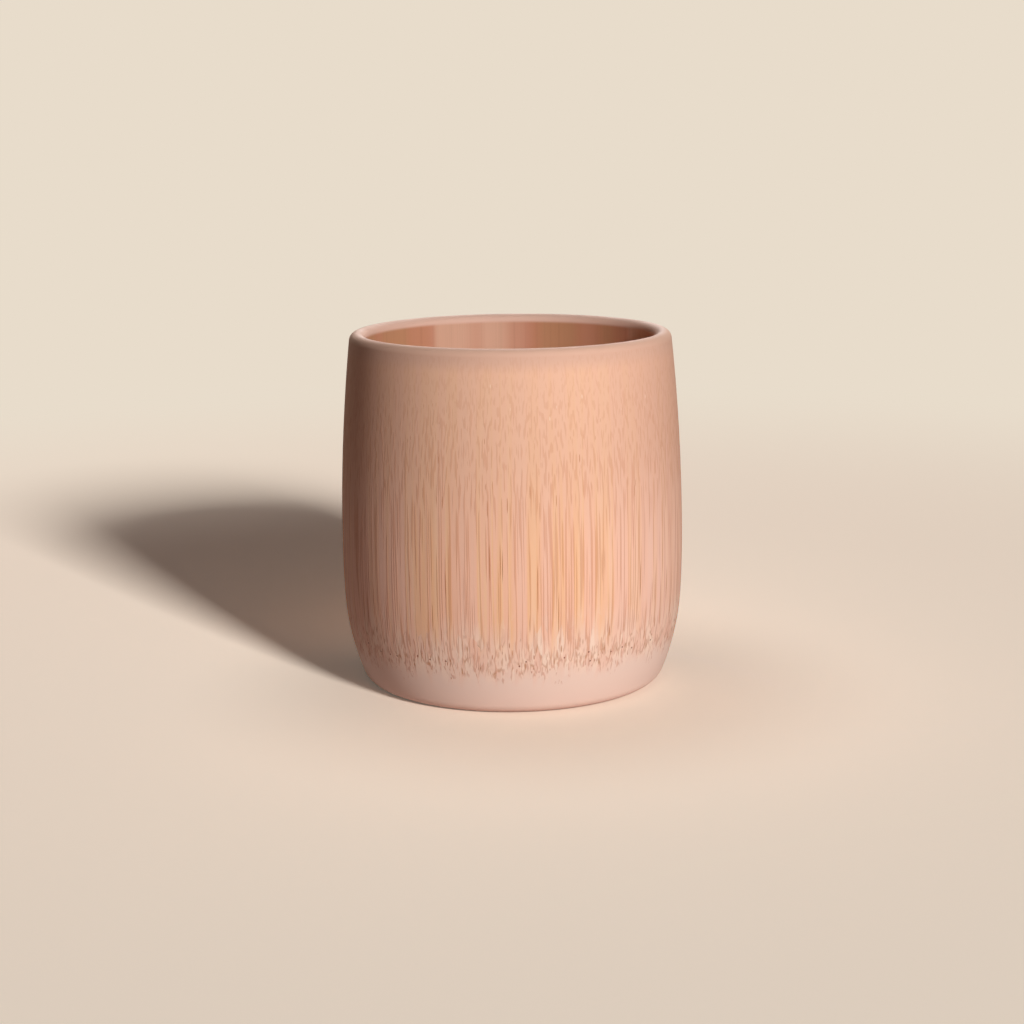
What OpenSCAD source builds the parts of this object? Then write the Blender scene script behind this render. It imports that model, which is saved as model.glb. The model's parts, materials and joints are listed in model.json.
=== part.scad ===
// Turned bamboo cup.
// A length of thick culm is cut just below a node, bored from its open end and turned to a
// barrel. The node closes the bottom, and its plate is the cup's floor.
// The origin is the centre of the circle that the cup stands on, with +Z up.

/* [Barrel] */
// Overall height
cup_h = 84; // [76:0.5:100]
// Greatest diameter, at the belly
belly_d = 82; // [79:0.5:92]
// Height of the greatest diameter
belly_z = 32.5; // [28:0.5:40]
// How much narrower than the belly the cup is just under its lip
rim_draw_in = 5.5; // [2.5:0.5:12]
// Radius of the curve from the belly down to the heel
belly_arc_r = 215; // [160:5:300]
// Height at which that curve tightens into the heel
heel_z = 21; // [16:0.5:26]
// Radius of the heel curve
heel_arc_r = 58; // [50:1:70]
// Radius that rounds the heel into the foot
foot_round_r = 3.7; // [2:0.1:6]

/* [Bore] */
// Thickness of the finished wall at the rim
rim_wall = 3.8; // [3:0.1:6]
// Radius of the cove that runs from the bore into the floor
cove_r = 6; // [4:0.25:8]
// Height of the finished floor where the cove meets it
floor_z = 9; // [7:0.25:12]

/* [Node plate] */
// Width of the ledge in the culm that carries the plate
ledge_w = 2; // [1.5:0.1:4]
// Depth of the hollow under the plate
foot_hollow_h = 2.5; // [1.5:0.1:4]
// Chamfer around the mouth of that hollow
foot_chamfer = 0.8; // [0.3:0.1:1.4]
// Rise of the plate from its edge to its middle
plate_crown = 0.8; // [0.3:0.1:1.5]

/* [Lacquer] */
// Thickness of the cured food-safe lacquer
coat_t = 0.15; // [0.1:0.01:0.3]

/* [Hidden] */
turn_fn = 128;
long_arc_steps = 14;
short_arc_steps = 8;

// Points and centres are [r, z]: the distance from the cup's axis and the height.
belly_r = belly_d / 2;
rim_r = belly_r - rim_draw_in / 2;
bore_r = rim_r - rim_wall;

// The upper arc stands upright at the belly and comes in to the rim's radius half a wall's
// thickness below the top.
upper_rise = cup_h - rim_wall / 2 - belly_z;
upper_run = belly_r - rim_r;
upper_arc_r = (upper_rise * upper_rise + upper_run * upper_run) / (2 * upper_run);
upper_centre = [belly_r - upper_arc_r, belly_z];

// The lip is the circle that touches the upper arc, the bore and the top of the cup.
lip_a = bore_r - upper_centre[0];
lip_b = cup_h - belly_z;
lip_c = lip_a - lip_b + upper_arc_r;
lip_r = sqrt(lip_c * lip_c - lip_a * lip_a - lip_b * lip_b + upper_arc_r * upper_arc_r) - lip_c;
lip_centre = [bore_r + lip_r, cup_h - lip_r];
lip_angle = atan2(lip_centre[1] - upper_centre[1], lip_centre[0] - upper_centre[0]);

// Below the belly each arc starts where the one above it ends, in the same direction.
belly_centre = [belly_r - belly_arc_r, belly_z];
heel_angle = asin((belly_z - heel_z) / belly_arc_r);
heel_centre = [
  belly_centre[0] + (belly_arc_r - heel_arc_r) * cos(heel_angle),
  belly_centre[1] - (belly_arc_r - heel_arc_r) * sin(heel_angle)
];
foot_angle = asin((heel_centre[1] - foot_round_r) / (heel_arc_r - foot_round_r));
foot_centre = [heel_centre[0] + (heel_arc_r - foot_round_r) * cos(foot_angle), foot_round_r];

// The cove ends where the plate begins, and the ledge reaches under the plate.
plate_r = bore_r - cove_r;
cove_centre = [plate_r, floor_z + cove_r];
foot_bore_r = plate_r - ledge_w;

// Points along an arc about a centre, from one angle to another.
function arc(centre, radius, from, to, steps) = [
  for (i = [0 : steps])
    let (angle = from + (to - from) * i / steps)
      [centre[0] + radius * cos(angle), centre[1] + radius * sin(angle)]
];

// Points of a shallow dome, from its edge at [edge_r, z] up to the axis.
function dome(edge_r, z) =
  let (radius = (edge_r * edge_r + plate_crown * plate_crown) / (2 * plate_crown))
    arc([0, z + plate_crown - radius], radius, acos(edge_r / radius), 90, short_arc_steps);

function reversed(points) = [for (i = [len(points) - 1 : -1 : 0]) points[i]];

// The outside of the barrel, from the foot up to the lip.
function barrel_outline() = concat(
  arc(foot_centre, foot_round_r, -90, -foot_angle, short_arc_steps),
  arc(heel_centre, heel_arc_r, -foot_angle, -heel_angle, short_arc_steps),
  arc(belly_centre, belly_arc_r, -heel_angle, 0, short_arc_steps),
  arc(upper_centre, upper_arc_r, 0, lip_angle, long_arc_steps)
);

// The inside, over the lip, down the bore and round the cove to the floor. Depth is how far it
// lies under the finished surface.
function bore_outline(depth) = concat(
  arc(lip_centre, lip_r - depth, lip_angle, 90, short_arc_steps),
  arc(lip_centre, lip_r - depth, 90, 180, short_arc_steps),
  arc(cove_centre, cove_r + depth, 0, -90, short_arc_steps)
);

// The turned culm: barrel, lip and bore, with the ring of the node below the ledge.
module culm_wall() {
  color("#e3b896")
    rotate_extrude($fn = turn_fn)
      polygon(concat(
        barrel_outline(),
        bore_outline(coat_t),
        [
          [plate_r, foot_hollow_h],
          [foot_bore_r, foot_hollow_h],
          [foot_bore_r, foot_chamfer],
          [foot_bore_r + foot_chamfer, 0]
        ]
      ));
}

// The node's own plate. Its edge meets the culm, and its underside rests on the ledge.
module node_plate() {
  color("#dfb49c")
    rotate_extrude($fn = turn_fn)
      polygon(concat(
        [[plate_r, foot_hollow_h]],
        dome(plate_r, floor_z - coat_t),
        reversed(dome(foot_bore_r, foot_hollow_h))
      ));
}

// One skin over all that a drink or a mouth touches: floor, cove, bore and lip.
module inner_lacquer() {
  color("#c08a66")
    rotate_extrude($fn = turn_fn)
      polygon(concat(
        bore_outline(coat_t),
        dome(plate_r, floor_z - coat_t),
        reversed(dome(plate_r, floor_z)),
        reversed(bore_outline(0))
      ));
}

culm_wall();
node_plate();
inner_lacquer();
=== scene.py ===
import json
import math

import bpy
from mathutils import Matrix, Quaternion, Vector

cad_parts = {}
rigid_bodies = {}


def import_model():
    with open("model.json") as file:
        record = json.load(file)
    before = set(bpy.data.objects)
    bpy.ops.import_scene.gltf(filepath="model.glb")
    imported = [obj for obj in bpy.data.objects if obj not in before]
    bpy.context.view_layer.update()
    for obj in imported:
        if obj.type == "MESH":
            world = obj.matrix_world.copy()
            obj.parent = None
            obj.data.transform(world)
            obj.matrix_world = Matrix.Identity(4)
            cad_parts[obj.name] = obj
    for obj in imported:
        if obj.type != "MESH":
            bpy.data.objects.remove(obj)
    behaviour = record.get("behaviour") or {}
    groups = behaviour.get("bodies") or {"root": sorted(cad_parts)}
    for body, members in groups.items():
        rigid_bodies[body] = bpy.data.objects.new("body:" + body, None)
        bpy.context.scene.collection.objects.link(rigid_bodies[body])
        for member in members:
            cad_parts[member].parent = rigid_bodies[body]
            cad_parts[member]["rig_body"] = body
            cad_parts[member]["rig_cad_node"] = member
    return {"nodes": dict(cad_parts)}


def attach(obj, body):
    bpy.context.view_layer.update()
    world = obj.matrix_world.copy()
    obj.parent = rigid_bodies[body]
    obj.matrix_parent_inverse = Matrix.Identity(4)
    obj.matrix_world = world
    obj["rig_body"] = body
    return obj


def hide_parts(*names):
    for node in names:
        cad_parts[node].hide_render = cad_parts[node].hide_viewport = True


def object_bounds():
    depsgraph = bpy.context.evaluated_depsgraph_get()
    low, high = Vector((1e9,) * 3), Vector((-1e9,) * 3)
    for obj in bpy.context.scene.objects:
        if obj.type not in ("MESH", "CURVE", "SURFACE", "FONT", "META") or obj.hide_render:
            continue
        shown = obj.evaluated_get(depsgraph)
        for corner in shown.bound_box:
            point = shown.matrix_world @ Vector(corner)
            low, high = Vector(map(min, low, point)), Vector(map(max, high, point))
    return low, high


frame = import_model()
cad_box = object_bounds()

# Camera. It stands half a metre in front of the cup, a little above it, and looks just below
# the cup's middle. The picture is a touch out of level, with its right side high.
camera_distance = 0.4995
camera_elevation = math.radians(11.32)
camera_roll = math.radians(-0.58)
aim_below_middle = 0.0021
picture_width_px = 1024
focal_length_px = 2069
nearest_seen = 0.01

middle = Vector((0, 0, cad_box[1].z / 2))
towards_camera = Vector((0, -math.cos(camera_elevation), math.sin(camera_elevation)))
bpy.ops.object.camera_add(location=middle + towards_camera * camera_distance)
camera = bpy.context.object
camera.name = "camera"
look = middle - Vector((0, 0, aim_below_middle)) - camera.location
camera.rotation_mode = "QUATERNION"
camera.rotation_quaternion = look.to_track_quat("-Z", "Y") @ Quaternion((0, 0, 1), camera_roll)
camera.data.lens = camera.data.sensor_width * focal_length_px / picture_width_px
camera.data.clip_start = nearest_seen
bpy.context.scene.camera = camera


# Culm wall. The real piece is a length of thick moso culm, turned outside on a lathe, bored, and
# sanded. Its fibre bundles run straight up the wall and end in a tangle at the node.
wall_steps = 800
merge_distance = 1e-6
cut_distance = 1e-7
sharpest_smooth_edge = math.radians(30)


def section_of(node, name):
    """A new piece that holds the outline of a turned CAD node, cut on one side of the axis."""
    bpy.ops.object.select_all(action="DESELECT")
    piece = frame["nodes"][node].copy()
    piece.data = frame["nodes"][node].data.copy()
    piece.name = piece.data.name = name
    piece.parent = None
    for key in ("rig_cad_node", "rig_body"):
        del piece[key]
    bpy.context.collection.objects.link(piece)
    bpy.context.view_layer.objects.active = piece
    piece.select_set(True)
    piece.data.materials.clear()
    bpy.ops.mesh.customdata_custom_splitnormals_clear()
    bpy.ops.object.mode_set(mode="EDIT")
    bpy.ops.mesh.select_all(action="SELECT")
    bpy.ops.mesh.remove_doubles(threshold=merge_distance)
    bpy.ops.mesh.bisect(plane_co=(0, 0, 0), plane_no=(0, 1, 0), clear_inner=True,
                        clear_outer=True, threshold=cut_distance)
    bpy.ops.mesh.select_all(action="SELECT")
    bpy.ops.mesh.bisect(plane_co=(0, 0, 0), plane_no=(1, 0, 0), clear_inner=True,
                        threshold=cut_distance)
    bpy.ops.object.mode_set(mode="OBJECT")
    return piece


def spin(piece, steps):
    """Turns a piece's outline round the axis into a closed surface."""
    lathe = piece.modifiers.new("lathe", "SCREW")
    lathe.steps = lathe.render_steps = steps
    lathe.use_merge_vertices = True
    lathe.merge_threshold = merge_distance
    bpy.ops.object.modifier_apply(modifier="lathe")
    bpy.ops.object.mode_set(mode="EDIT")
    bpy.ops.mesh.select_all(action="SELECT")
    bpy.ops.mesh.remove_doubles(threshold=merge_distance)
    bpy.ops.mesh.normals_make_consistent(inside=False)
    bpy.ops.object.mode_set(mode="OBJECT")
    bpy.ops.object.shade_smooth_by_angle(angle=sharpest_smooth_edge)


def smooth_share(value, start, end):
    """0 before start, 1 after end, and a smooth rise between them."""
    share = min(1, max(0, (value - start) / (end - start)))
    return share * share * (3 - 2 * share)


wall = section_of("culm_wall", "turned_wall")
spin(wall, wall_steps)

# Sanding takes the soft tissue lower than the fibre bundles, by up to a twentieth of a millimetre.
# The ridges that this leaves run up the outside, and fade out before the foot and before the lip.
# Real ones are 0.4 mm wide, like the bundles. These are 1 mm wide, so that they show.
ridge_depth = 0.00005
ridge_width = 0.0010
ridge_run = 25
ridge_detail = 2
ridges_start = (0.006, 0.012)
ridges_end = (0.066, 0.080)
outside_from = 1.04

bore_radius = min(math.hypot(v.co.x, v.co.y) for v in wall.data.vertices if v.co.z > middle.z)
open_grain = wall.vertex_groups.new(name="open_grain")
for v in wall.data.vertices:
    outside = math.hypot(v.co.x, v.co.y) > bore_radius * outside_from
    share = smooth_share(v.co.z, *ridges_start) * (1 - smooth_share(v.co.z, *ridges_end))
    open_grain.add([v.index], share * outside, "REPLACE")
bpy.ops.object.empty_add(location=(0, 0, 0))
ridge_space = bpy.context.object
ridge_space.scale = (1, 1, ridge_run)
bpy.context.view_layer.update()
ridges = bpy.data.textures.new("fibre_ridges", "CLOUDS")
ridges.noise_scale = ridge_width
ridges.noise_depth = ridge_detail
grain = wall.modifiers.new("grain", "DISPLACE")
grain.texture = ridges
grain.texture_coords = "OBJECT"
grain.texture_coords_object = ridge_space
grain.vertex_group = open_grain.name
grain.mid_level = 1
grain.strength = ridge_depth
bpy.ops.object.select_all(action="DESELECT")
bpy.context.view_layer.objects.active = wall
wall.select_set(True)
bpy.ops.object.modifier_apply(modifier="grain")
bpy.data.objects.remove(ridge_space)
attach(wall, "root")
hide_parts("culm_wall")

to_mm = 1000


def linear(colour):
    """An sRGB hex colour as the linear values that a shader takes."""
    shares = [int(colour[i:i + 2], 16) / 255 for i in (1, 3, 5)]
    return (*[s / 12.92 if s <= 0.04045 else ((s + 0.055) / 1.055) ** 2.4 for s in shares], 1)


def fill(material, node, links):
    """Sets a node's inputs, each to a node, to one output of a node, or to a plain value."""
    for key, value in links.items():
        # A whole node stands for its first output, and a Mix for its colour.
        if isinstance(value, bpy.types.Node):
            value = value.outputs[2 if value.bl_idname == "ShaderNodeMix" else 0]
        if isinstance(value, bpy.types.NodeSocket):
            material.node_tree.links.new(value, node.inputs[key])
        else:
            node.inputs[key].default_value = value


# Inputs that share a name go by number. In Map Range, 0 is the value, 1 and 2 are where it starts
# and ends, and 3 and 4 are what it becomes there, which is 0 and 1 where they aren't given. In Mix,
# 0 is the share, and 6 and 7 are the two colours.
def add(material, kind, links, **settings):
    """Adds a node with its settings and links."""
    made = material.node_tree.nodes.new("ShaderNode" + kind)
    for name, value in settings.items():
        setattr(made, name, value)
    fill(material, made, links)
    return made


def fill_ramp(ramp, stops):
    """Lays colours along a ramp, from its low end to its high end."""
    for element, (position, colour) in zip(ramp.elements, (stops[0], stops[-1])):
        element.position = position
        element.color = colour
    for position, colour in stops[1:-1]:
        ramp.elements.new(position).color = colour


def place_in_mm(material):
    """The place on a piece, in millimetres."""
    place = add(material, "TexCoord", {}).outputs["Object"]
    return add(material, "VectorMath", {0: place, "Scale": to_mm}, operation="SCALE")


def off_axis(material, xyz):
    """How far a place is from the cup's axis."""
    flat = add(material, "CombineXYZ", {0: xyz.outputs["X"], 1: xyz.outputs["Y"]})
    return add(material, "VectorMath", {0: flat}, operation="LENGTH").outputs["Value"]


# Turned moso bamboo, sanded and left bare: matt, pale amber and pink in long bands, with thin
# brown bundles that the slope of the barrel cuts to long streaks, and higher up to short dashes.
# A name that ends in along is how fast a pattern changes up the culm, as a share of how fast it
# changes across. The node leans a little, and level is the height above its slope.
node_lean = 0.028
culm_height_mm = cad_box[1].z * to_mm
culm_radius_mm = cad_box[1].x * to_mm

bamboo = bpy.data.materials.new("sanded_moso_bamboo")
bamboo.use_nodes = True
place = place_in_mm(bamboo)
xyz = add(bamboo, "SeparateXYZ", {0: place})
height = xyz.outputs["Z"]
height_share = add(bamboo, "Math", {0: height, 1: culm_height_mm}, operation="DIVIDE")
level = add(bamboo, "Math", {0: xyz.outputs["X"], 1: -node_lean, 2: height},
            operation="MULTIPLY_ADD")

# The bundles lie in rounds, like the wall itself, so the pattern changes slowly with the radius.
# They wander a little on their way up, and near the node they are torn to and fro.
radial_change = 0.35
wander_mm = 16
wander_along = 0.2
wander_reach_mm = 0.5
turmoil_mm = 4.5
turmoil_along = 0.5
turmoil_reach_mm = 1.3
turmoil_from_mm = 20
turmoil_full_mm = 12

on_belly = add(bamboo, "Math", {0: (1 - radial_change) * culm_radius_mm, 1: off_axis(bamboo, xyz)},
               operation="DIVIDE")
rounding = add(bamboo, "Math", {0: on_belly, 1: radial_change}, operation="ADD")
rounds = add(bamboo, "VectorMath", {0: place, "Scale": rounding}, operation="SCALE")
wander_space = add(bamboo, "Mapping", {0: place, "Scale": (1, 1, wander_along)})
wander = add(bamboo, "TexNoise", {"Vector": wander_space, "Scale": 1 / wander_mm, "Detail": 0})
wandered = add(bamboo, "VectorMath", {0: wander.outputs["Color"],
                                      1: (wander_reach_mm, wander_reach_mm, 0), 2: rounds},
               operation="MULTIPLY_ADD")
near_node = add(bamboo, "MapRange", {0: level, 1: turmoil_from_mm, 2: turmoil_full_mm},
                interpolation_type="SMOOTHSTEP")
turmoil_space = add(bamboo, "Mapping", {0: place, "Scale": (1, 1, turmoil_along)})
turmoil = add(bamboo, "TexNoise", {"Vector": turmoil_space, "Scale": 1 / turmoil_mm, "Detail": 1})
both_ways = add(bamboo, "VectorMath", {0: turmoil.outputs["Color"], 1: (0.5, 0.5, 0.5)},
                operation="SUBTRACT")
turmoil_share = add(bamboo, "VectorMath", {0: both_ways, "Scale": near_node}, operation="SCALE")
tangled = add(bamboo, "VectorMath", {0: turmoil_share, 1: (turmoil_reach_mm, turmoil_reach_mm, 0),
                                     2: wandered}, operation="MULTIPLY_ADD")

# Along the belly the pattern is drawn out very long, and towards lip and node it is shorter.
streak_along = 0.015
dash_from_mm = 44
dash_growth = 0.0030
tear_from_mm = 20
tear_growth = 0.012

past_belly = add(bamboo, "Math", {0: height, 1: dash_from_mm}, operation="SUBTRACT")
into_dashes = add(bamboo, "Math", {0: past_belly, 1: 0}, operation="MAXIMUM")
dash_square = add(bamboo, "Math", {0: into_dashes, 1: 2}, operation="POWER")
under_belly = add(bamboo, "Math", {0: tear_from_mm, 1: level}, operation="SUBTRACT")
into_tears = add(bamboo, "Math", {0: under_belly, 1: 0}, operation="MAXIMUM")
tear_square = add(bamboo, "Math", {0: into_tears, 1: 2}, operation="POWER")
belly_run = add(bamboo, "Math", {0: level, 1: streak_along}, operation="MULTIPLY")
upper_run = add(bamboo, "Math", {0: dash_square, 1: dash_growth, 2: belly_run},
                operation="MULTIPLY_ADD")
whole_run = add(bamboo, "Math", {0: tear_square, 1: -tear_growth, 2: upper_run},
                operation="MULTIPLY_ADD")
across = add(bamboo, "SeparateXYZ", {0: tangled})
streaks = add(bamboo, "CombineXYZ", {0: across.outputs["X"], 1: across.outputs["Y"], 2: whole_run})

# The node's upper edge is ragged: fingers of smooth tissue, each with a height of its own. Above
# it the dark grain shows in full on the belly, and less and less towards the lip.
node_level_mm = 10
finger_width_mm = 1.25
finger_along = 0.2
finger_reach_mm = 6
grain_from_mm = node_level_mm + 2.6
grain_full_mm = node_level_mm + 4
grain_by_height = ((0.44, 1), (0.60, 0.72), (0.82, 0.48), (0.97, 0.2))

finger_space = add(bamboo, "Mapping", {0: tangled, "Scale": (1, 1, finger_along)})
fingers = add(bamboo, "TexVoronoi", {"Vector": finger_space, "Scale": 1 / finger_width_mm})
finger_sides = add(bamboo, "TexVoronoi", {"Vector": finger_space, "Scale": 1 / finger_width_mm},
                   feature="DISTANCE_TO_EDGE")
finger_kind = add(bamboo, "SeparateColor", {0: fingers.outputs["Color"]})
ragged_level = add(bamboo, "Math", {0: finger_kind, 1: finger_reach_mm, 2: level},
                   operation="MULTIPLY_ADD")
above_node = add(bamboo, "MapRange", {0: ragged_level, 1: grain_from_mm, 2: grain_full_mm},
                 interpolation_type="SMOOTHSTEP")
showing = add(bamboo, "ValToRGB", {0: height_share})
fill_ramp(showing.color_ramp, [(at, (share, share, share, 1)) for at, share in grain_by_height])
shown = add(bamboo, "Math", {0: showing, 1: above_node}, operation="MULTIPLY")

# Bands of pink, cream and amber tissue, clear on the belly and faint under the lip. The belly's
# tones are lighter than the one under the lip: partly the tissue's own tone, partly painted light
# that makes the lower wall lighter.
upper_amber = linear("#eabc9f")
belly_amber = linear("#fac599")
belly_cream = linear("#fccda7")
belly_pink = linear("#fbc6a8")
belly_grey_pink = linear("#fac9af")
band_width_mm = 3.4
bands_faint_mm = 64
bands_clear_mm = 30
faint_band = 0.25

band_space = add(bamboo, "CombineXYZ", {0: across.outputs["X"], 1: across.outputs["Y"],
                                        2: belly_run})
bands = add(bamboo, "TexNoise", {"Vector": band_space, "Scale": 1 / band_width_mm, "Detail": 2,
                                 "Roughness": 0.5})
band_colours = add(bamboo, "ValToRGB", {0: bands})
fill_ramp(band_colours.color_ramp, ((0.34, belly_grey_pink), (0.43, belly_pink), (0.50, belly_amber),
                                    (0.56, belly_cream), (0.61, belly_pink), (0.68, belly_pink)))
band_share = add(bamboo, "MapRange", {0: height, 1: bands_faint_mm, 2: bands_clear_mm,
                                      3: faint_band, 4: 1}, interpolation_type="SMOOTHSTEP")
banded = add(bamboo, "Mix", {0: band_share, 6: upper_amber, 7: band_colours}, data_type="RGBA")

# Painted shade: the culm's two flanks, left and right as the camera sees them, are drawn darker,
# browner towards the lip and pinker lower down, like shade and the tint it takes on those sides.
flank_shade_pink = linear("#f6cebd")
flank_shade_brown = linear("#cf9d84")
flank_shade_from_mm = 12
flank_shade_full_mm = 41
flank_shade_strength = 0.6

sideways = add(bamboo, "Math", {0: xyz.outputs["X"]}, operation="ABSOLUTE")
to_shaded_flank = add(bamboo, "MapRange", {0: sideways, 1: flank_shade_from_mm, 2: flank_shade_full_mm, 3: 0,
                                   4: flank_shade_strength}, interpolation_type="SMOOTHSTEP")
flank_shade_tone = add(bamboo, "Mix", {0: band_share, 6: flank_shade_brown, 7: flank_shade_pink}, data_type="RGBA")
flank_shaded = add(bamboo, "Mix", {0: to_shaded_flank, 6: banded, 7: flank_shade_tone}, data_type="RGBA")

# Round the node the tissue is smooth and pale pink. The torn fingers above it are pink and cream.
# These tones are drawn lighter still, partly as painted light on the low wall.
torn_pink = linear("#f6ccb6")
torn_cream = linear("#ffe2cc")
node_pink = linear("#f7dccb")
tears_fade_mm = node_level_mm + 6
tears_gone_mm = node_level_mm + 18
cloud_mm = 1.6
cloud_reach_mm = 7
pink_fades_mm = node_level_mm + 0.5
pink_gone_mm = node_level_mm + 7

torn_rise = add(bamboo, "MapRange", {0: ragged_level, 1: tears_fade_mm, 2: tears_gone_mm},
                interpolation_type="SMOOTHSTEP")
torn_tone = add(bamboo, "Mix", {0: finger_kind.outputs[1], 6: torn_pink, 7: torn_cream},
                data_type="RGBA")
torn = add(bamboo, "Mix", {0: torn_rise, 6: torn_tone, 7: flank_shaded}, data_type="RGBA")
clouds = add(bamboo, "TexNoise", {"Vector": finger_space, "Scale": 1 / cloud_mm, "Detail": 2})
cloudy_level = add(bamboo, "Math", {0: clouds, 1: cloud_reach_mm, 2: level},
                   operation="MULTIPLY_ADD")
pink_rise = add(bamboo, "MapRange", {0: cloudy_level, 1: pink_fades_mm, 2: pink_gone_mm},
                interpolation_type="SMOOTHSTEP")
culm = add(bamboo, "Mix", {0: pink_rise, 6: node_pink, 7: torn}, data_type="RGBA")

# The wall's top edge has the same tone as the outer side of the lacquered lip, which it meets.
edge_pink = linear("#dfb49d")
edge_from_mm = culm_height_mm - 6
edge_full_mm = culm_height_mm - 2

under_lip = add(bamboo, "MapRange", {0: height, 1: edge_from_mm, 2: edge_full_mm},
                interpolation_type="SMOOTHSTEP")
ground = add(bamboo, "Mix", {0: under_lip, 6: culm, 7: edge_pink}, data_type="RGBA")

# Bundles are thin and brown, each unlike the next, fewer towards the lip and denser in some bands.
# Between them are fine fibres, which are far too thin to show. They are drawn as wide as bundles.
bundle_brown = linear("#bc6a38")
bundle_spacing_mm = 0.56
thin_bundle = 0.13
thick_bundle = 0.22
bundle_blur = 0.07
all_bundles_to = 0.5
few_bundles_from = 0.97
left_out_low = -0.35
left_out_high = 0.62
full_bundle_rank = 0.7
sparse_band = 0.38
dense_band = 0.55
sparse_strength = 0.4
fine_fibre_mm = 0.40
fibre_from = 0.54
fibre_full = 0.64
fibre_strength = 0.38
grain_strength = 0.9

fine = add(bamboo, "TexNoise", {"Vector": streaks, "Scale": 1 / fine_fibre_mm, "Detail": 0})
fine_share = add(bamboo, "MapRange", {0: fine, 1: fibre_from, 2: fibre_full, 3: 0,
                                      4: fibre_strength})
bundles = add(bamboo, "TexVoronoi", {"Vector": streaks, "Scale": 1 / bundle_spacing_mm})
bundle_kind = add(bamboo, "SeparateColor", {0: bundles.outputs["Color"]})
bundle_edge = add(bamboo, "MapRange", {0: bundle_kind, 3: thin_bundle, 4: thick_bundle})
bundle_heart = add(bamboo, "Math", {0: bundle_edge, 1: bundle_blur}, operation="SUBTRACT")
bundle_core = add(bamboo, "MapRange", {0: bundles, 1: bundle_edge, 2: bundle_heart},
                  interpolation_type="SMOOTHSTEP")
left_out = add(bamboo, "MapRange", {0: height_share, 1: all_bundles_to, 2: few_bundles_from,
                                    3: left_out_low, 4: left_out_high})
bundle_rank = add(bamboo, "Math", {0: bundle_kind.outputs[2], 1: left_out}, operation="SUBTRACT")
bundle_strength = add(bamboo, "MapRange", {0: bundle_rank, 1: 0, 2: full_bundle_rank})
bundle_group = add(bamboo, "MapRange", {0: bands, 1: sparse_band, 2: dense_band,
                                        3: sparse_strength, 4: 1})
grouped = add(bamboo, "Math", {0: bundle_strength, 1: bundle_group}, operation="MULTIPLY")
bundle_share = add(bamboo, "Math", {0: bundle_core, 1: grouped}, operation="MULTIPLY")
dark_share = add(bamboo, "Math", {0: bundle_share, 1: fine_share}, operation="MAXIMUM")
dark_seen = add(bamboo, "Math", {0: dark_share, 1: shown}, operation="MULTIPLY")
dark_depth = add(bamboo, "Math", {0: dark_seen, 1: grain_strength}, operation="MULTIPLY")
bundled = add(bamboo, "Mix", {0: dark_depth, 6: ground, 7: bundle_brown}, data_type="RGBA")

# Torn ends: the fingers' sides, drawn in broken brown lines, and short dark slits among them.
torn_brown = linear("#c0875f")
line_edge = 0.10
line_heart = 0.02
gap_mm = 1.2
gap_along = 0.5
line_from = 0.48
line_full = 0.62
line_strength = 0.7
slit_spacing_mm = 0.85
slit_along = 0.22
slit_edge = 0.31
slit_heart = 0.13
tears_bottom_mm = node_level_mm + 2.9
tears_low_mm = node_level_mm + 5.5
tears_high_mm = node_level_mm + 7
tears_top_mm = node_level_mm + 13
tear_strength = 0.8

finger_line = add(bamboo, "MapRange", {0: finger_sides, 1: line_edge, 2: line_heart},
                  interpolation_type="SMOOTHSTEP")
gap_space = add(bamboo, "Mapping", {0: place, "Scale": (1, 1, gap_along)})
line_gaps = add(bamboo, "TexNoise", {"Vector": gap_space, "Scale": 1 / gap_mm, "Detail": 1})
line_left = add(bamboo, "MapRange", {0: line_gaps, 1: line_from, 2: line_full, 3: 0,
                                     4: line_strength})
broken_line = add(bamboo, "Math", {0: finger_line, 1: line_left}, operation="MULTIPLY")
slit_space = add(bamboo, "Mapping", {0: tangled, "Scale": (1, 1, slit_along)})
slits = add(bamboo, "TexVoronoi", {"Vector": slit_space, "Scale": 1 / slit_spacing_mm})
slit_kind = add(bamboo, "SeparateColor", {0: slits.outputs["Color"]})
slit = add(bamboo, "MapRange", {0: slits, 1: slit_edge, 2: slit_heart},
           interpolation_type="SMOOTHSTEP")
slit_share = add(bamboo, "Math", {0: slit, 1: slit_kind.outputs[1]}, operation="MULTIPLY")
torn_share = add(bamboo, "Math", {0: slit_share, 1: broken_line}, operation="MAXIMUM")
torn_low = add(bamboo, "MapRange", {0: cloudy_level, 1: tears_bottom_mm, 2: tears_low_mm},
               interpolation_type="SMOOTHSTEP")
torn_high = add(bamboo, "MapRange", {0: ragged_level, 1: tears_top_mm, 2: tears_high_mm},
                interpolation_type="SMOOTHSTEP")
torn_zone = add(bamboo, "Math", {0: torn_low, 1: torn_high}, operation="MULTIPLY")
torn_seen = add(bamboo, "Math", {0: torn_share, 1: torn_zone}, operation="MULTIPLY")
torn_depth = add(bamboo, "Math", {0: torn_seen, 1: tear_strength}, operation="MULTIPLY")
frayed = add(bamboo, "Mix", {0: torn_depth, 6: bundled, 7: torn_brown}, data_type="RGBA")

# Pin holes where the fine roots were, in a loose row round the node.
pin_brown = linear("#8a4c34")
pin_spacing_mm = 3.2
pin_edge = 0.085
pin_heart = 0.04
pin_strength = 0.85
pins_left_out = 0.4
pin_row_mm = node_level_mm + 3.2
pin_row_reach_mm = 1.4

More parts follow.
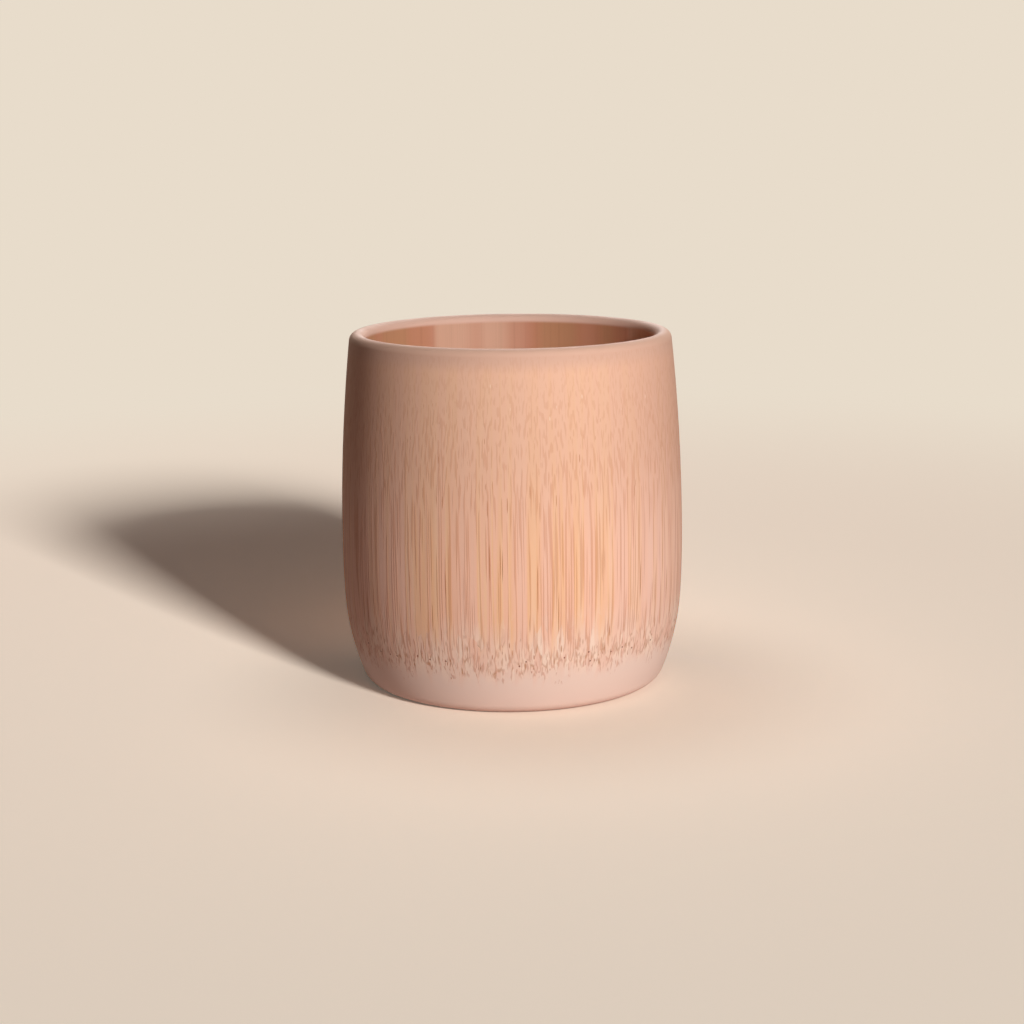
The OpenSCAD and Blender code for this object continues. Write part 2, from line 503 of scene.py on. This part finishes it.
backwards = add(bamboo, "Math", {0: xyz.outputs["Y"], 1: -1}, operation="MULTIPLY")
around = add(bamboo, "Math", {0: xyz.outputs["X"], 1: backwards}, operation="ARCTAN2")
around_mm = add(bamboo, "Math", {0: around, 1: culm_radius_mm}, operation="MULTIPLY")
unrolled = add(bamboo, "CombineXYZ", {0: around_mm, 1: level})
pins = add(bamboo, "TexVoronoi", {"Vector": unrolled, "Scale": 1 / pin_spacing_mm},
           voronoi_dimensions="2D")
pin_kind = add(bamboo, "SeparateColor", {0: pins.outputs["Color"]})
pin_spot = add(bamboo, "MapRange", {0: pins, 1: pin_edge, 2: pin_heart, 3: 0, 4: pin_strength},
               interpolation_type="SMOOTHSTEP")
pin_chosen = add(bamboo, "Math", {0: pin_kind, 1: pins_left_out}, operation="GREATER_THAN")
pin_row = add(bamboo, "Math", {0: level, 1: pin_row_mm, 2: pin_row_reach_mm}, operation="COMPARE")
pin_here = add(bamboo, "Math", {0: pin_chosen, 1: pin_row}, operation="MULTIPLY")
pin_seen = add(bamboo, "Math", {0: pin_spot, 1: pin_here}, operation="MULTIPLY")
pinned = add(bamboo, "Mix", {0: pin_seen, 6: frayed, 7: pin_brown}, data_type="RGBA")

# A few pale nicks below the lip, where the turning tool lifted single fibres. Their pale tone is
# painted highlight, for the light that those raised fibres catch.
nick_glint_cream = linear("#ffe6d0")
nick_spacing_mm = 1.5
nick_along = 0.25
nick_edge = 0.13
nick_heart = 0.05
nick_glint_strength = 0.5
nicks_left_out = 0.8
nick_row_mm = culm_height_mm - 11
nick_row_reach_mm = 6

nick_space = add(bamboo, "Mapping", {0: rounds, "Scale": (1, 1, nick_along)})
nicks = add(bamboo, "TexVoronoi", {"Vector": nick_space, "Scale": 1 / nick_spacing_mm})
nick_kind = add(bamboo, "SeparateColor", {0: nicks.outputs["Color"]})
nick_chosen = add(bamboo, "Math", {0: nick_kind, 1: nicks_left_out}, operation="GREATER_THAN")
nick_spot = add(bamboo, "MapRange", {0: nicks, 1: nick_edge, 2: nick_heart, 3: 0, 4: nick_glint_strength},
                interpolation_type="SMOOTHSTEP")
nick_row = add(bamboo, "Math", {0: height, 1: nick_row_mm, 2: nick_row_reach_mm},
               operation="COMPARE")
nick_here = add(bamboo, "Math", {0: nick_chosen, 1: nick_row}, operation="MULTIPLY")
nick_glint_seen = add(bamboo, "Math", {0: nick_spot, 1: nick_here}, operation="MULTIPLY")
nick_glinted = add(bamboo, "Mix", {0: nick_glint_seen, 6: pinned, 7: nick_glint_cream}, data_type="RGBA")

# The foot's sawn face shows the same bundles end on, as dots.
sawn_to_mm = 0.7
sawn_full_mm = 0.1
end_spacing_mm = 1.05
end_edge = 0.34
end_heart = 0.2
end_strength = 0.6

sawn = add(bamboo, "MapRange", {0: height, 1: sawn_to_mm, 2: sawn_full_mm})
ends = add(bamboo, "TexVoronoi", {"Vector": place, "Scale": 1 / end_spacing_mm},
           voronoi_dimensions="2D")
end_dot = add(bamboo, "MapRange", {0: ends, 1: end_edge, 2: end_heart, 3: 0, 4: end_strength})
end_seen = add(bamboo, "Math", {0: end_dot, 1: sawn}, operation="MULTIPLY")
footed = add(bamboo, "Mix", {0: end_seen, 6: nick_glinted, 7: bundle_brown}, data_type="RGBA")

# Sanding leaves the hard bundles a little proud. Slits and pin holes lie lower than the face.
bundle_relief = 0.00007
slit_relief = -0.4
pin_relief = -1
soft_roughness = 0.68
bundle_roughness = 0.85

grooved = add(bamboo, "Math", {0: torn_seen, 1: slit_relief, 2: dark_seen},
              operation="MULTIPLY_ADD")
relief = add(bamboo, "Math", {0: pin_seen, 1: pin_relief, 2: grooved}, operation="MULTIPLY_ADD")
bump = add(bamboo, "Bump", {"Height": relief, "Strength": 1, "Distance": bundle_relief})
matt = add(bamboo, "MapRange", {0: dark_seen, 3: soft_roughness, 4: bundle_roughness})
fill(bamboo, bamboo.node_tree.nodes["Principled BSDF"],
     {"Base Color": footed, "Normal": bump, "Roughness": matt, "Specular IOR Level": 0.12})
wall.data.materials.append(bamboo)


# Node plate. The culm's own diaphragm, grown across it at the node, left in when the culm was
# bored and turned flat on both sides. Its fibres swirl, and it carries faint turning rings.
tissue_pale = linear("#efcaa6")
tissue_tan = linear("#d9a988")
tissue_brown = linear("#9a6748")
tissue_cloud_mm = 7
tissue_cloud_twist = 1.2
tan_tissue_at = 0.35
pale_tissue_at = 0.65
swirl_mm = 9
swirl_reach_mm = 7
strand_mm = 0.8
strand_along = 0.2
strand_from = 0.5
strand_full = 0.8
strand_strength = 0.4
dot_spacing_mm = 1.7
dot_edge = 0.2
dot_heart = 0.08
dot_strength = 0.45


def node_tissue(material, place):
    """Adds the look of the node's tissue, and gives back its colour and where it is dark."""
    cloud = add(material, "TexNoise", {"Vector": place, "Scale": 1 / tissue_cloud_mm, "Detail": 3,
                                       "Distortion": tissue_cloud_twist})
    cloudy = add(material, "MapRange", {0: cloud, 1: tan_tissue_at, 2: pale_tissue_at})
    body = add(material, "Mix", {0: cloudy, 6: tissue_tan, 7: tissue_pale}, data_type="RGBA")
    swirl = add(material, "TexNoise", {"Vector": place, "Scale": 1 / swirl_mm, "Detail": 1})
    swirled = add(material, "VectorMath", {0: swirl.outputs["Color"],
                                           1: (swirl_reach_mm, swirl_reach_mm, 0), 2: place},
                  operation="MULTIPLY_ADD")
    strand_space = add(material, "Mapping", {0: swirled, "Scale": (1, strand_along, 1)})
    strands = add(material, "TexNoise", {"Vector": strand_space, "Scale": 1 / strand_mm,
                                         "Detail": 2})
    strand = add(material, "MapRange", {0: strands, 1: strand_from, 2: strand_full, 3: 0,
                                        4: strand_strength})
    dots = add(material, "TexVoronoi", {"Vector": swirled, "Scale": 1 / dot_spacing_mm})
    dot = add(material, "MapRange", {0: dots, 1: dot_edge, 2: dot_heart, 3: 0, 4: dot_strength})
    dark = add(material, "Math", {0: strand, 1: dot}, operation="MAXIMUM")
    colour = add(material, "Mix", {0: dark, 6: body, 7: tissue_brown}, data_type="RGBA")
    return colour, dark


plate_steps = 320
plate_relief = 0.00003
turning_mm = 0.6
# At a scale of 1, a Wave texture's rings are this far apart.
wave_spacing = 0.314

plate = section_of("node_plate", "grown_plate")
spin(plate, plate_steps)
diaphragm = bpy.data.materials.new("turned_node_diaphragm")
diaphragm.use_nodes = True
place = place_in_mm(diaphragm)
tissue, dark = node_tissue(diaphragm, place)
rings = add(diaphragm, "TexWave", {"Vector": place, "Scale": wave_spacing / turning_mm},
            wave_type="RINGS", rings_direction="Z")
relief = add(diaphragm, "Math", {0: dark, 1: -1, 2: rings}, operation="MULTIPLY_ADD")
bump = add(diaphragm, "Bump", {"Height": relief, "Strength": 0.6, "Distance": plate_relief})
fill(diaphragm, diaphragm.node_tree.nodes["Principled BSDF"],
     {"Base Color": tissue, "Normal": bump, "Roughness": 0.7, "Specular IOR Level": 0.3})
plate.data.materials.append(diaphragm)
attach(plate, "root")
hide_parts("node_plate")


# Inner lacquer. A thin food-safe lacquer, brushed on over floor, bore and lip and then cured. It
# deepens the culm's inner tissue to amber-brown in wide upright bands, and it has a soft gloss.
coat = section_of("inner_lacquer", "lacquer_coat")

# The lip is one true round from barrel to bore. Its few straight steps are cut finer and rounded,
# so that no line shows where the coat ends on the wall.
coat_steps = 320
lip_cuts = 5
lip_slack = 0.00003

points = coat.data.vertices
lip_top = max(points, key=lambda v: v.co.z).co.copy()
lip_radius = lip_top.x - min(v.co.x for v in points if v.co.z > middle.z)
lip_centre = lip_top - Vector((0, 0, lip_radius))
on_round = [abs((v.co - lip_centre).length - lip_radius) < lip_slack for v in points]
for v in points:
    v.select = False
for edge in coat.data.edges:
    edge.select = all(on_round[i] for i in edge.vertices)
bpy.ops.object.mode_set(mode="EDIT")
bpy.ops.mesh.subdivide(number_cuts=lip_cuts)
bpy.ops.object.mode_set(mode="OBJECT")
for v in coat.data.vertices:
    if v.select:
        v.co = lip_centre + (v.co - lip_centre).normalized() * lip_radius
spin(coat, coat_steps)

# The bore's bands run straight down it, and turn paler lower down. That paleness is painted light,
# which makes up for how little light reaches deep into the bore. The pattern is shifted and turned
# to bring them to where the real cup has its own.
band_tones = ((0.38, linear("#c8926e")), (0.46, linear("#cc8f6f")), (0.54, linear("#d2957a")),
              (0.62, linear("#e0b095")))
bore_painted_light = linear("#e6bd9c")
inner_brown = linear("#8f5a3e")
inner_along = 0.01
inner_band_mm = 12
inner_shift_mm = 86.5
inner_turn = 0.12
inner_fibre_mm = 0.7
inner_fibre_from = 0.5
inner_fibre_full = 0.75
inner_fibre_strength = 0.12
painted_light_from_mm = 74
painted_light_full_mm = 40
painted_light_strength = 0.75

lacquer = bpy.data.materials.new("lacquered_inner_culm")
lacquer.use_nodes = True
place = place_in_mm(lacquer)
xyz = add(lacquer, "SeparateXYZ", {0: place})
height = xyz.outputs["Z"]
upright = add(lacquer, "Mapping", {0: place, "Scale": (1, 1, inner_along)})
band_space = add(lacquer, "Mapping", {0: upright, "Location": (inner_shift_mm, 0, 0),
                                      "Rotation": (0, 0, inner_turn)})
inner_bands = add(lacquer, "TexNoise", {"Vector": band_space, "Scale": 1 / inner_band_mm,
                                        "Detail": 1, "Roughness": 0.3})
band_tone = add(lacquer, "ValToRGB", {0: inner_bands})
fill_ramp(band_tone.color_ramp, band_tones)
fibres = add(lacquer, "TexNoise", {"Vector": upright, "Scale": 1 / inner_fibre_mm, "Detail": 2})
fibre_share = add(lacquer, "MapRange", {0: fibres, 1: inner_fibre_from, 2: inner_fibre_full,
                                        3: 0, 4: inner_fibre_strength})
painted_light_depth = add(lacquer, "MapRange", {0: height, 1: painted_light_from_mm, 2: painted_light_full_mm, 3: 0,
                                 4: painted_light_strength}, interpolation_type="SMOOTHSTEP")
painted_light_paler = add(lacquer, "Mix", {0: painted_light_depth, 6: band_tone, 7: bore_painted_light}, data_type="RGBA")
bored = add(lacquer, "Mix", {0: fibre_share, 6: painted_light_paler, 7: inner_brown}, data_type="RGBA")

# Under the lacquer the floor is the node's own tissue, a little deeper in tone.
stain = 0.3
floor_from_mm = 15
floor_full_mm = 11

tissue, _ = node_tissue(lacquer, place)
stained = add(lacquer, "Mix", {0: stain, 6: tissue, 7: band_tones[1][1]}, data_type="RGBA")
on_floor = add(lacquer, "MapRange", {0: height, 1: floor_from_mm, 2: floor_full_mm},
               interpolation_type="SMOOTHSTEP")
inside = add(lacquer, "Mix", {0: on_floor, 6: bored, 7: stained}, data_type="RGBA")

# The lip is pink from a little way down the bore, and past its crest it takes the wall's edge tone.
lip_pink = linear("#eac0ac")
lip_from_mm = culm_height_mm - 2.3
lip_full_mm = culm_height_mm - 1.4
off_bore_from_mm = bore_radius * to_mm + 0.05
off_bore_full_mm = bore_radius * to_mm + 0.2
crest_from_mm = lip_top.x * to_mm - 0.4
crest_full_mm = lip_top.x * to_mm + 1.4

radius = off_axis(lacquer, xyz)
up_the_bore = add(lacquer, "MapRange", {0: height, 1: lip_from_mm, 2: lip_full_mm},
                  interpolation_type="SMOOTHSTEP")
off_the_bore = add(lacquer, "MapRange", {0: radius, 1: off_bore_from_mm, 2: off_bore_full_mm},
                   interpolation_type="SMOOTHSTEP")
on_lip = add(lacquer, "Math", {0: up_the_bore, 1: off_the_bore}, operation="MAXIMUM")
past_crest = add(lacquer, "MapRange", {0: radius, 1: crest_from_mm, 2: crest_full_mm},
                 interpolation_type="SMOOTHSTEP")
lip_tone = add(lacquer, "Mix", {0: past_crest, 6: lip_pink, 7: edge_pink}, data_type="RGBA")
lipped = add(lacquer, "Mix", {0: on_lip, 6: inside, 7: lip_tone}, data_type="RGBA")

# The brush leaves the gloss uneven, and the lip is rubbed duller.
brushed_mm = 11
glossiest_at = 0.3
dullest_at = 0.7
glossiest = 0.42
dullest = 0.56
lip_rubbing = 0.2

brushed = add(lacquer, "TexNoise", {"Vector": place, "Scale": 1 / brushed_mm, "Detail": 2})
gloss = add(lacquer, "MapRange", {0: brushed, 1: glossiest_at, 2: dullest_at, 3: glossiest,
                                  4: dullest})
rubbed = add(lacquer, "Math", {0: on_lip, 1: lip_rubbing, 2: gloss}, operation="MULTIPLY_ADD")
fill(lacquer, lacquer.node_tree.nodes["Principled BSDF"],
     {"Base Color": lipped, "Roughness": rubbed, "Specular IOR Level": 0.22})
coat.data.materials.append(lacquer)
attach(coat, "root")
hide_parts("inner_lacquer")


# Studio. A soft lamp low to the front right lights cup and floor. Fainter light from behind and
# above is for the cup alone, so that the floor keeps its shadow. The floor fades into a backdrop.
def lamp(name, azimuth, elevation, distance, size, power):
    """A square soft lamp aimed at the cup's middle. Azimuth 0 is the camera's side."""
    turn = math.radians(azimuth)
    rise = math.radians(elevation)
    way = Vector((math.sin(turn) * math.cos(rise), -math.cos(turn) * math.cos(rise), math.sin(rise)))
    bpy.ops.object.light_add(type="AREA", location=middle + way * distance)
    made = bpy.context.object
    made.name = name
    made.rotation_mode = "QUATERNION"
    made.rotation_quaternion = (-way).to_track_quat("-Z", "Y")
    made.data.size = size
    made.data.energy = power
    return made


key = lamp("key_lamp", azimuth=28, elevation=24, distance=0.65, size=0.1, power=3.25)
back = lamp("back_lamp", azimuth=177, elevation=32, distance=1.0, size=0.4, power=5.5)
over = lamp("over_lamp", azimuth=0, elevation=90, distance=0.7, size=0.2, power=0.25)
cup_only = bpy.data.collections.new("lit_from_behind")
for piece in (wall, plate, coat):
    cup_only.objects.link(piece)
back.light_linking.receiver_collection = cup_only
over.light_linking.receiver_collection = cup_only

# The near lamp lights the floor unevenly, as one over its distance cubed. The paper's colour makes
# up for that, so the paper is seen at one level, and the cup's shadow lies on it as it would. Close
# to the cup it also makes up for the light that the cup throws back on the paper.
floor_width = 12
floor_paper = linear("#dccdbd")
floor_bounce = linear("#e6cbc3")
glow_middle = (0.006, -0.011, 0)
glow_from = 0.02
glow_to = 0.09
least_beside_cup = 0.63

bpy.ops.mesh.primitive_plane_add(size=floor_width)
floor = bpy.context.object
floor.name = "studio_floor"
paper = bpy.data.materials.new("pale_paper")
paper.use_nodes = True
paper.node_tree.nodes.remove(paper.node_tree.nodes["Principled BSDF"])
place = add(paper, "TexCoord", {}).outputs["Object"]
rays = add(paper, "LightPath", {})
direct = add(paper, "Math", {0: rays.outputs["Is Camera Ray"], 1: rays.outputs["Is Glossy Ray"]},
             operation="MAXIMUM")
lamp_way = add(paper, "VectorMath", {0: place, 1: key.location}, operation="DISTANCE")
lamp_way_cubed = add(paper, "Math", {0: lamp_way.outputs["Value"], 1: 3}, operation="POWER")
lamp_evening = add(paper, "Math", {0: lamp_way_cubed,
                                   1: key.data.energy * key.location.z / math.pi ** 2},
                   operation="DIVIDE")
from_glow = add(paper, "VectorMath", {0: place, 1: glow_middle}, operation="DISTANCE")
beside_cup = add(paper, "MapRange", {0: from_glow.outputs["Value"], 1: glow_from, 2: glow_to,
                                     3: least_beside_cup, 4: 1}, interpolation_type="SMOOTHSTEP")
evening = add(paper, "Math", {0: lamp_evening, 1: beside_cup}, operation="MULTIPLY")
even_paper = add(paper, "VectorMath", {0: floor_paper[:3], "Scale": evening}, operation="SCALE")
paper_colour = add(paper, "Mix", {0: direct, 6: floor_bounce, 7: even_paper}, data_type="RGBA")

# Further out the floor turns into the backdrop's own plain tone, which also fills the shadow a bit.
backdrop_cream = linear("#e8dccb")
shadow_fill = 0.13
backdrop_from = 0.16
backdrop_full = 0.5

far = add(paper, "VectorMath", {0: place}, operation="LENGTH")
far_share = add(paper, "MapRange", {0: far.outputs["Value"], 1: backdrop_from, 2: backdrop_full,
                                    3: shadow_fill, 4: 1}, interpolation_type="SMOOTHSTEP")
faded = add(paper, "Math", {0: far_share, 1: direct}, operation="MULTIPLY")
lit = add(paper, "BsdfDiffuse", {"Color": paper_colour})
plain = add(paper, "Emission", {"Color": backdrop_cream})
seen = add(paper, "MixShader", {0: faded, 1: lit, 2: plain})
fill(paper, paper.node_tree.nodes["Material Output"], {"Surface": seen})
floor.data.materials.append(paper)

# The room gives the cup only a trace of warm light. What is seen of it is the pale backdrop.
room_pink = linear("#ee8f75")
room_light = 0.012

studio = bpy.data.worlds.new("studio")
bpy.context.scene.world = studio
studio.use_nodes = True
room = studio.node_tree.nodes["Background"]
fill(studio, room, {"Color": room_pink, "Strength": room_light})
rays = add(studio, "LightPath", {})
direct = add(studio, "Math", {0: rays.outputs["Is Camera Ray"], 1: rays.outputs["Is Glossy Ray"]},
             operation="MAXIMUM")
unbroken = add(studio, "Math", {0: direct, 1: rays.outputs["Is Transmission Ray"]},
               operation="MAXIMUM")
backdrop = add(studio, "Background", {"Color": backdrop_cream, "Strength": 1})
seen = add(studio, "MixShader", {0: unbroken, 1: room, 2: backdrop})
fill(studio, studio.node_tree.nodes["World Output"], {"Surface": seen})
bpy.context.scene.view_settings.view_transform = "Standard"
